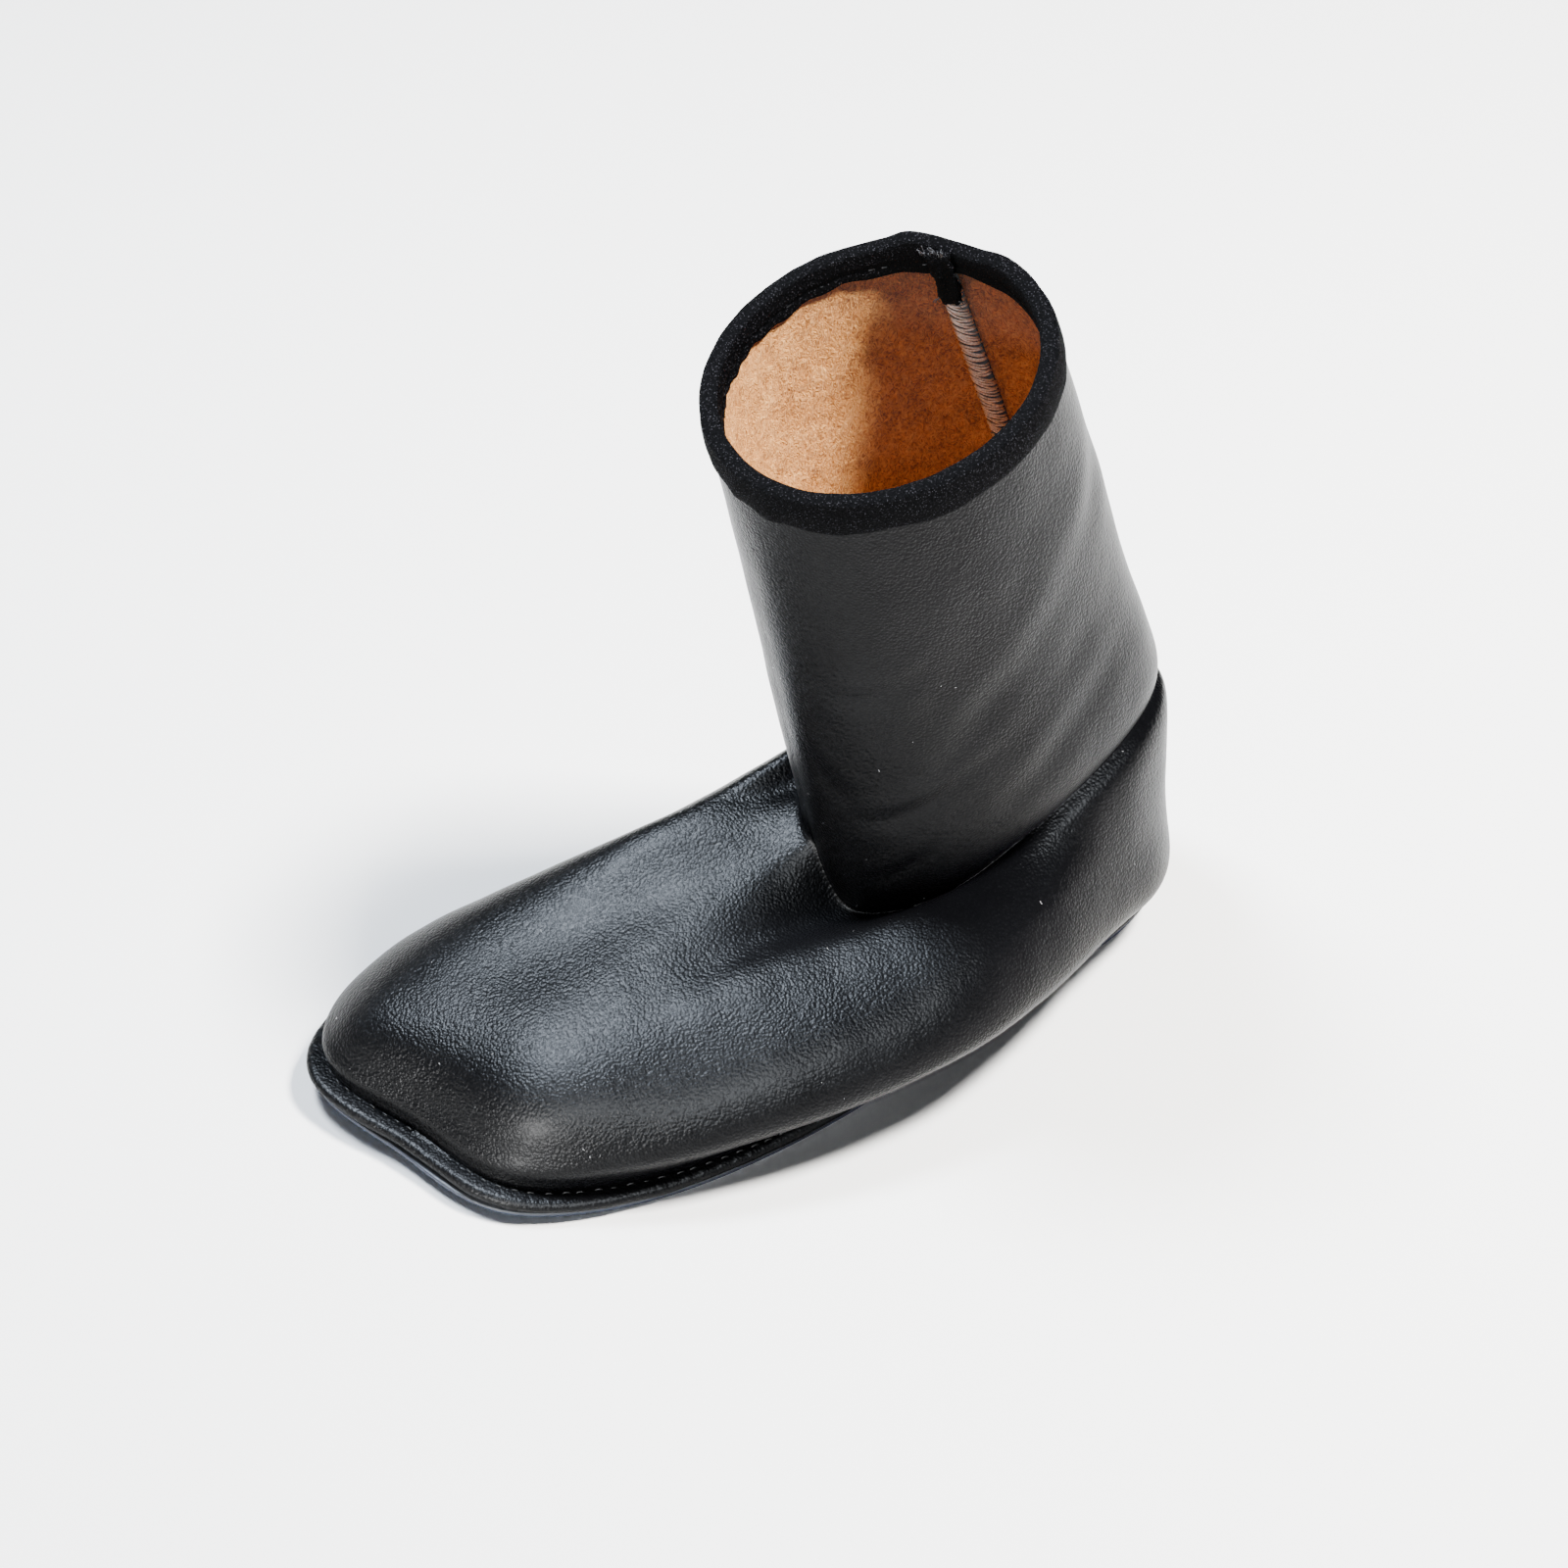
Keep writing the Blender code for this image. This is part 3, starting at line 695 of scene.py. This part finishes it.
def knitFinish():
    finish = Finish("black knit", Roughness=0.85, Specular_IOR_Level=0.02)
    loops = finish.cells(1400.0, "SMOOTH_F1", 0.3)
    fuzz = finish.noise(1700.0, 3.0, 0.75)
    broad = finish.noise(160.0, 3.0)
    colour = finish.ramp(loops * 0.45 + fuzz * 0.55,
                         ((0.31, binding["flecks"]), (0.40, binding["body"]), (0.75, binding["deep"])))
    low = finish.bump(broad, 0.0006, 0.5)
    normal = finish.bump(1 - (loops * 0.6 + fuzz * 0.4), 0.0012, 1.0, low)
    return finish.wear(Base_Color=colour, Normal=normal)


knit = knitFinish()


# The tape's two ends meet at the seam: one stands up, the next one dips; place round the rim, width, height
rimLifts = ((-0.012, 0.010, 0.0024), (0.016, 0.008, -0.0012), (0.036, 0.010, 0.0007))


def rimLift(section):
    away = (section["share"] + boot["seamPlace"] + 0.5) % 1.0 - 0.5
    return sum(high * np.exp(-(((away - place) / wide) ** 2)) for place, wide, high in rimLifts)


def buildBinding():
    section = sectionsRound(binding["columns"])
    near = boot["clearance"]
    far = near + binding["thick"]
    wall = boot["wall"]
    outside = binding["outside"] + binding["wave"] * np.sin(2 * math.pi * 9 * section["share"])
    inside = binding["inside"] + binding["wave"] * np.sin(2 * math.pi * 34 * section["share"])
    inside = inside + 0.7 * binding["wave"] * np.sin(2 * math.pi * 13 * section["share"] + 1)
    lift = rimLift(section)
    # depth below the rim and distance out, from the outer lower edge over the rim and back underneath
    profile = [(outside, near), (outside + 0.0001, near + 0.25 * binding["thick"]),
               (outside - 0.0008, near + 0.6 * binding["thick"]), (outside * 0.78, far),
               (outside * 0.5, far + 0.0003), (outside * 0.25, far + 0.0002), (0.0015, far)]
    for turn in np.linspace(15, 165, 11):
        across = (far + wall / 2) * math.cos(math.radians(turn)) - wall / 2
        profile.append((-(far + 0.0003) * math.sin(math.radians(turn)) ** 0.8 - lift, across))
    profile += [(0.0015, -wall - far), (inside * 0.3, -wall - far - 0.0002),
                (inside * 0.5, -wall - far - 0.0002), (inside * 0.58, -wall - far + 0.0006),
                (inside * 0.66, -wall - far - 0.0001), (inside * 0.85, -wall - far - 0.0002),
                (inside - 0.0005, -wall - far), (inside, -wall - near - 0.4 * binding["thick"]),
                (inside - 0.0002, -wall - near), (inside * 0.5, -wall - near), (0.0, -wall - near),
                (-near, -wall / 2), (0.0, near), (outside * 0.5, near)]
    grid = np.array([collarPoints(section, depth, out) for depth, out in profile])
    grid += gridNormals(grid) * (binding["uneven"] * softNoise(grid, binding["unevenScale"], 31))[..., None]
    piece = addGrid("knitBinding", grid, knit, closeRows=True)
    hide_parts("collar_binding")


buildBinding()


def collarPath(places, depths, outs):
    section = readSections(places)
    return collarPoints(section, np.asarray(depths), np.asarray(outs))


def buildBindingStitches():
    ring = collarPath(np.arange(360) / 360, np.zeros(360), np.zeros(360))
    around = np.linalg.norm(np.roll(ring, -1, axis=0) - ring, axis=1)
    length = np.concatenate([[0.0], np.cumsum(around)])
    count = int(length[-1] / binding["stitchPitch"])
    deep = -boot["wall"] - boot["clearance"] - binding["thick"]
    paths = []
    for k in range(count):
        spots = (k + np.linspace(0.1, 0.1 + binding["stitchLong"] / binding["stitchPitch"], 5)) / count * length[-1]
        places = np.interp(spots, length, np.arange(361) / 360)
        sink = np.array(binding["stitchSink"])
        paths.append(collarPath(places, binding["stitchDepth"], deep + binding["stitchOut"] + sink))
    blackThread = threadFinish("black thread", (0.005, 0.005, 0.006), 0.15)
    tubes("bindingStitches", paths, binding["stitchThread"], 6, blackThread)


def threadFinish(name, tone, shine=0.4):
    finish = Finish(name, Specular_IOR_Level=shine)
    twist = finish.noise(1800.0, 2.0)
    colour = finish.blend(finish.range(twist, 0.35, 0.65, 0.0, 1.0), tone, darker(tone, 0.55))
    rough = finish.range(twist, 0.3, 0.7, 0.40, 0.60)
    return finish.wear(Base_Color=colour, Roughness=rough, Normal=finish.bump(twist, 0.0003, 0.6))


buildBindingStitches()
print("binding built")

# Seam inside the back: a ridge of folded edges under tan overlock loops
seam = {"width": 0.0072, "high": 0.0024, "pitch": 0.00122, "thread": 0.00037, "start": 0.13,
        "threadTone": (0.72, 0.49, 0.29), "edgeDark": (0.003, 0.003, 0.003), "edgePale": (0.022, 0.014, 0.009),
        "jitter": 0.00028, "slope": (-0.0002, 0.0014), "bend": (-0.0007, 0.0002), "reach": (0.98, 1.10)}


def seamShares(width):
    ring = collarPath([-boot["seamPlace"] - 0.001, -boot["seamPlace"] + 0.001], [0.0, 0.0], [0.0, 0.0])
    perShare = np.linalg.norm(ring[1] - ring[0]) / 0.002
    return width / perShare


def seamPoint(across, depth, high):
    # across from -1 to 1 over the ridge, depth below the rim, high over the lining
    places = -boot["seamPlace"] + np.asarray(across) * seamShares(seam["width"]) / 2
    return collarPath(places, depth, -boot["wall"] - boot["clearance"] - np.asarray(high))


def seamLength():
    section = readSections([-boot["seamPlace"]])
    return shaftFrame(section, np.ones(1))[3][0]


def buildSeam():
    finish = Finish("cut leather edge", Roughness=0.85, Specular_IOR_Level=0.3)
    speck = finish.noise(900.0, 3.0)
    colour = finish.blend(speck, seam["edgeDark"], seam["edgePale"])
    edgeLeather = finish.wear(Base_Color=colour, Normal=finish.bump(speck, 0.0004, 0.6))
    top = boot["clearance"] + binding["inside"]
    bottom = seamLength() * (1 - seam["start"])
    depths = np.linspace(top, bottom, 90)
    across = np.linspace(-1, 1, 13)
    crown = seam["high"] * np.sqrt(np.clip(1 - (across * 0.96) ** 2, 0, 1)) * 0.86
    grid = []
    for depth in depths:
        base = seamPoint(across, depth, -0.0002 + 0 * across)
        crest = seamPoint(across, depth, crown)
        grid.append(np.concatenate([base, crest[::-1]]))
    grid = np.array(grid)
    faces = gridFaces(*grid.shape[:2]) + endCaps(*grid.shape[:2])
    ridge = addMesh("seamRidge", grid.reshape(-1, 3), faces, edgeLeather)
    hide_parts("back_seam")
    source = np.random.default_rng(5)
    paths = []
    count = int((bottom - top) / seam["pitch"])
    for k in range(count):
        depth = top + (k + 0.5) * seam["pitch"] + source.uniform(-seam["jitter"], seam["jitter"])
        slope, bend, reach = (source.uniform(*seam[key]) for key in ("slope", "bend", "reach"))
        spread = np.linspace(-reach, reach, 11)
        high = seam["high"] * np.sqrt(np.clip(1 - (spread * 0.90) ** 2, 0, 1)) * 0.95 + 0.0001
        paths.append(seamPoint(spread, depth + slope * spread + bend * spread**2, high))
    tubes("overlockThread", paths, seam["thread"], 6, threadFinish("tan thread", seam["threadTone"]))


buildSeam()


# Tail: the tape's loose end, turned down over the top of the seam
tail = {"width": 0.0092, "thick": 0.0020, "length": 0.0178, "crumple": 0.00055, "above": 0.0016,
        "threads": 26, "thread": 0.00013, "threadTone": (0.020, 0.020, 0.024)}


def tailBase():
    return boot["wall"] + max(binding["thick"], seam["high"]) + 2 * boot["clearance"]


def buildTail():
    base = tailBase()
    depths = np.linspace(-tail["above"], tail["length"], 34)
    across = np.linspace(-1, 1, 15)
    half = seamShares(tail["width"]) / 2
    grid = []
    for depth in depths:
        done = max(depth, 0) / tail["length"]
        narrow = 1.0 - 0.22 * done + 0.05 * math.sin(9 * done)
        drift = 0.10 * math.sin(4 * done)
        places = -boot["seamPlace"] + (across * narrow + drift) * half
        sag = base + 0.0004 * math.sin(7 * done) - 0.0012 * max(0.0, -depth / tail["above"])
        curl = 0.0006 * across**2 * done
        under = collarPath(places, depth, -(sag - curl))
        crown = tail["thick"] * (0.45 + 0.55 * np.sqrt(np.clip(1 - across**4, 0, 1)))
        crown *= 1 + 0.25 * np.cos(5 * across + 3 * done)
        over = collarPath(places, depth, -(sag - curl + crown))
        grid.append(np.concatenate([under, over[::-1]]))
    grid = np.array(grid)
    rough = softNoise(grid, 0.0060, 41)[..., None] + 0.6 * softNoise(grid, 0.0030, 42)[..., None]
    grid += gridNormals(grid) * tail["crumple"] * rough
    faces = gridFaces(*grid.shape[:2]) + endCaps(*grid.shape[:2])
    piece = addMesh("bindingEnd", grid.reshape(-1, 3), faces, knit)
    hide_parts("binding_tail")


def buildTailThreads():
    # frayed ends, most of them at the tape's cut edge above the rim, a few below
    source = np.random.default_rng(17)
    base = tailBase()
    paths = []
    for k in range(tail["threads"]):
        upper = k % 4 != 3
        place = -boot["seamPlace"] + source.uniform(-0.55, 0.45) * seamShares(tail["width"])
        start = -0.0012 if upper else tail["length"] - 0.001
        way = source.uniform(-0.0030, -0.0012) if upper else source.uniform(0.0010, 0.0026)
        lean, curl = source.uniform(-0.0022, 0.0022), source.uniform(-0.0010, 0.0010)
        run = np.linspace(0, 1, 7)
        across = place + (lean * run + curl * np.sin(3 * run)) * seamShares(1.0)
        out = -(base + source.uniform(0.0002, 0.0016)) - source.uniform(-0.0006, 0.0010) * run
        paths.append(collarPath(across, start + way * run, out))
    tubes("tailThreads", paths, tail["thread"], 5, threadFinish("loose thread", tail["threadTone"]))


buildTail()
buildTailThreads()
print("seam and tail built")

# Stitches in the groove between skin and rolled edge
groove = {"pitch": 0.0052, "long": 0.0026, "radius": 0.00026, "sink": 0.0005, "out": 0.0006, "columns": 900,
          "rise": (-0.0003, 0.0002, 0.0003, 0.0002, -0.0003), "tone": (0.0035, 0.0035, 0.004)}


def buildGrooveStitches():
    line = footLine(sectionsRound(groove["columns"]))
    out = line + lineNormals(line) * groove["out"]
    steps = np.linalg.norm(np.roll(out, -1, axis=0) - out, axis=1)
    length = np.concatenate([[0.0], np.cumsum(steps)])
    closed = np.concatenate([out, out[:1]])
    count = int(length[-1] / groove["pitch"])
    paths = []
    source = np.random.default_rng(9)
    for k in range(count):
        start, sink = source.uniform(0.05, 0.30), groove["sink"] * source.uniform(0.3, 1.6)
        spots = (k + np.linspace(start, start + groove["long"] / groove["pitch"], 5)) / count * length[-1]
        x = np.interp(spots, length, closed[:, 0])
        y = np.interp(spots, length, closed[:, 1])
        rise = np.array(groove["rise"]) - sink
        paths.append(np.column_stack([x, y, groundHeight(y) + boot["feather"] + rise]))
    waxedThread = threadFinish("black waxed thread", groove["tone"], 0.15)
    tubes("grooveStitches", paths, groove["radius"], 6, waxedThread)


buildGrooveStitches()
print("stitches built")

# Lint: pale specks and short hairs on the leather
lint = {"count": 60, "radius": 0.00008, "longest": 0.0010, "shortest": 0.00015, "tone": (0.55, 0.56, 0.58),
        "columns": 240, "rows": 60}


def buildLint():
    source = np.random.default_rng(23)
    section = sectionsRound(lint["columns"])
    grid, levels = skinGrid(section, lint["rows"], lint["rows"], skin["soften"])
    normal = gridNormals(grid)
    push = skinPush(section, grid, levels)
    paths = []
    for _ in range(lint["count"]):
        i, j = source.integers(18, len(levels) - 12), source.integers(0, lint["columns"])
        along = np.cross(normal[i, j], source.normal(size=3))
        along /= np.linalg.norm(along)
        long = lint["longest"] * source.uniform(0.12, 1.0) ** 3 + lint["shortest"]
        run = np.linspace(-0.5, 0.5, 4)[:, None] * long
        middle = grid[i, j] + normal[i, j] * (push[i, j] + lint["radius"])
        paths.append(middle + along * run + normal[i, j] * 0.2 * np.abs(run))
    tubes("lint", paths, lint["radius"], 5, threadFinish("pale lint", lint["tone"]))


buildLint()
print("lint built")

# Floor, lights and camera
studio = {"floorTone": (0.93, 0.935, 0.94), "floorHalf": 6.0, "airTone": (0.93, 0.96, 1.0), "airStrength": 0.08,
          "azimuth": 57.8, "elevation": 43.65, "distance": 1.2, "target": (0.0, -0.085, 0.095), "lens": 88.7,
          "sensor": 36.0}
# The softboxes light the boot, the cards only show in its shine
lights = (
    {"name": "skySoftbox", "toward": (-0.36, -0.14, 0.92), "away": 1.5, "size": (0.35, 0.35), "power": 50.0,
     "tone": (0.84, 0.91, 1.0)},
    {"name": "windowCard", "toward": (-0.33, -0.24, 0.91), "away": 1.5, "size": (0.30, 0.30), "power": 210.0,
     "tone": (0.76, 0.86, 1.0), "diffuse": False},
    {"name": "keySoftbox", "toward": (0.25, 0.40, 0.88), "away": 1.7, "size": (0.3, 0.3), "power": 160.0,
     "tone": (1.0, 0.97, 0.92), "glossy": False},
    {"name": "sideCard", "toward": (0.66, -0.36, 0.66), "away": 1.5, "size": (1.1, 0.14), "power": 120.0,
     "tone": (0.90, 0.95, 1.0), "diffuse": False},
    {"name": "toeCard", "toward": (0.43, -0.88, 0.20), "away": 1.4, "size": (0.15, 0.15), "power": 100.0,
     "tone": (1.0, 1.0, 1.0), "diffuse": False},
)


def addLight(name, toward, away, size, power, tone, diffuse=True, glossy=True):
    data = bpy.data.lights.new(name, "AREA")
    data.energy = power
    data.color = tone
    data.shape = "RECTANGLE"
    data.size, data.size_y = size
    lamp = bpy.data.objects.new(name, data)
    lamp.visible_diffuse, lamp.visible_glossy = diffuse, glossy
    aim = Vector(studio["target"])
    lamp.location = aim + Vector(toward).normalized() * away
    lamp.rotation_euler = (aim - lamp.location).to_track_quat("-Z", "Y").to_euler()
    bpy.context.scene.collection.objects.link(lamp)


def buildStudio():
    floorFinish = Finish("pale floor", Roughness=0.7, Specular_IOR_Level=0.2)
    floorFinish.shader.inputs["Base Color"].default_value = (*studio["floorTone"], 1.0)
    data = bpy.data.meshes.new("paleFloor")
    half = studio["floorHalf"]
    data.from_pydata([(-half, -half, 0), (half, -half, 0), (half, half, 0), (-half, half, 0)], [], [(0, 1, 2, 3)])
    data.materials.append(floorFinish.material)
    floor = bpy.data.objects.new("paleFloor", data)
    bpy.context.scene.collection.objects.link(floor)
    world = bpy.data.worlds.new("studio air")
    world.use_nodes = True
    air = world.node_tree.nodes["Background"]
    air.inputs["Color"].default_value = (*studio["airTone"], 1.0)
    air.inputs["Strength"].default_value = studio["airStrength"]
    bpy.context.scene.world = world
    for light in lights:
        addLight(**light)
    camera = bpy.data.cameras.new("camera")
    camera.lens = studio["lens"]
    camera.sensor_width = studio["sensor"]
    holder = bpy.data.objects.new("camera", camera)
    azimuth, elevation = math.radians(studio["azimuth"]), math.radians(studio["elevation"])
    back = Vector((math.sin(azimuth) * math.cos(elevation), -math.cos(azimuth) * math.cos(elevation),
                   math.sin(elevation)))
    holder.location = Vector(studio["target"]) + back * studio["distance"]
    holder.rotation_euler = (-back).to_track_quat("-Z", "Y").to_euler()
    bpy.context.scene.collection.objects.link(holder)
    bpy.context.scene.camera = holder


buildStudio()
print("studio set")
